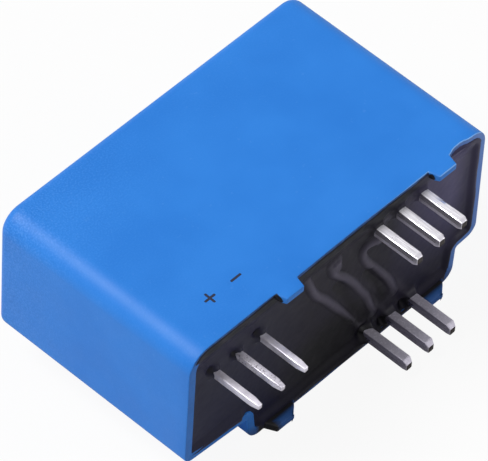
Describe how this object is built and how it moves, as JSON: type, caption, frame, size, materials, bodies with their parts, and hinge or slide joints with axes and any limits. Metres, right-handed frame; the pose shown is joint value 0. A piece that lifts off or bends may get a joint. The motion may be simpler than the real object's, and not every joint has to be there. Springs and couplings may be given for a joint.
{
  "type": "hall effect current sensor",
  "caption": "Closed-loop Hall effect current sensor: potted moulded case with a raised back, primary pins in two rows and a row of secondary pins.",
  "frame": {"origin": "centre of the footprint, under the raised back that it lies on", "axes": "+X along the case's length, away from the secondary pins; -Y the way the pins point; +Z out of the front face"},
  "size_m": [0.0334, 0.0248, 0.0162],
  "materials": {
    "blue_plastic": "satin moulded polyester",
    "black_resin": "semi-gloss cast epoxy",
    "tinned_copper": "bright tin plate over copper",
    "tinned_brass": "worn tin plate over brass",
    "black_plastic": "matt moulded",
    "silicon_steel": "stamped sheet stack",
    "white_nylon": "matt moulded",
    "enamelled_copper": "enamelled wire",
    "yellow_tape": "polyester film",
    "black_epoxy": "moulded package",
    "green_laminate": "solder mask",
    "tan_ceramic": "fired ceramic",
    "black_ceramic": "fired ceramic"
  },
  "bodies": {
    "root": {"case": "blue_plastic", "potting_compound": "black_resin", "primary_bar_1": "tinned_copper", "primary_bar_2": "tinned_copper", "primary_bar_3": "tinned_copper", "secondary_pin_1": "tinned_brass", "secondary_pin_2": "tinned_brass", "secondary_pin_3": "tinned_brass", "primary_carrier": "black_plastic", "core_stack_upper": "silicon_steel", "core_stack_lower": "silicon_steel", "coil_bobbin": "white_nylon", "coil_winding": "enamelled_copper", "coil_tape": "yellow_tape", "coil_lead_1": "enamelled_copper", "coil_lead_2": "enamelled_copper", "hall_element": "black_epoxy", "circuit_board": "green_laminate", "amplifier_chip": "black_epoxy", "driver_transistor_1": "black_epoxy", "driver_transistor_2": "black_epoxy", "bypass_capacitor_1": "tan_ceramic", "bypass_capacitor_2": "tan_ceramic", "chip_resistor_1": "black_ceramic", "chip_resistor_2": "black_ceramic", "chip_resistor_3": "black_ceramic"}
  },
  "joints": []
}
